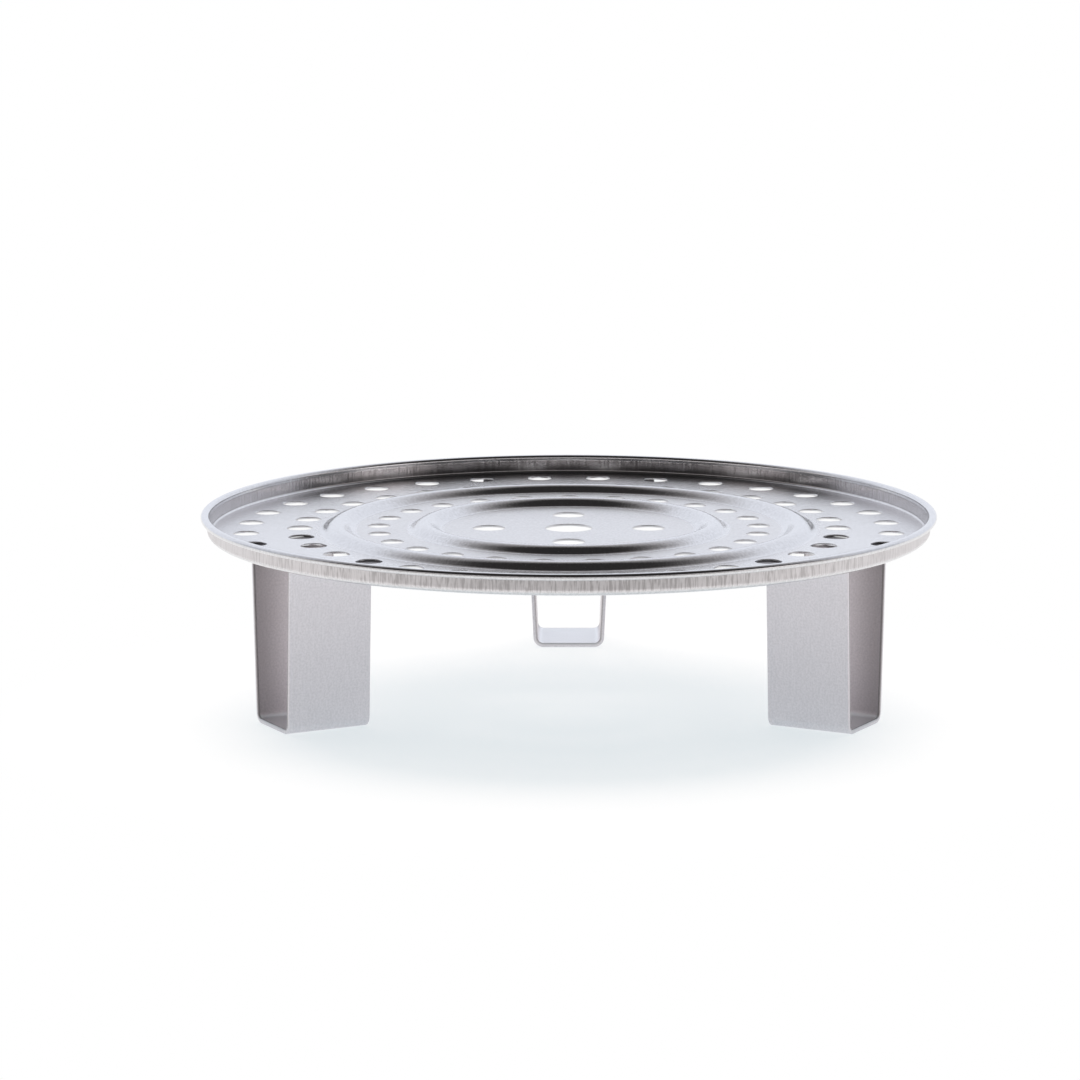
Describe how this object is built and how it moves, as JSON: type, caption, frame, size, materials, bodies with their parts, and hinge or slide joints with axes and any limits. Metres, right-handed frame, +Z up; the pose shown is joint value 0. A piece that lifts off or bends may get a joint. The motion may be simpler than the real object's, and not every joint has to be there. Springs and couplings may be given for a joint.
{
  "type": "steamer insert",
  "caption": "Round perforated steaming tray with a rolled rim and raised ring ribs, carried on bent strap legs that hold food over boiling water in a pot.",
  "frame": {"origin": "centre of the tray's circle, on the surface that the legs stand on", "axes": "+Z up, +Y from the centre towards the single back leg, +X to the right as seen from the front"},
  "size_m": [0.34, 0.34, 0.0878],
  "materials": {
    "tray_steel": "bright pressed stainless sheet, fine grain, with a polished rolled rim",
    "leg_steel": "satin stainless strap, brushed along its length",
    "weld_steel": "fused stainless, unseen inside the joint"
  },
  "bodies": {
    "root": {"steam_tray": "tray_steel", "back_leg": "leg_steel", "front_left_leg": "leg_steel", "front_right_leg": "leg_steel", "spot_welds": "weld_steel"}
  },
  "joints": []
}
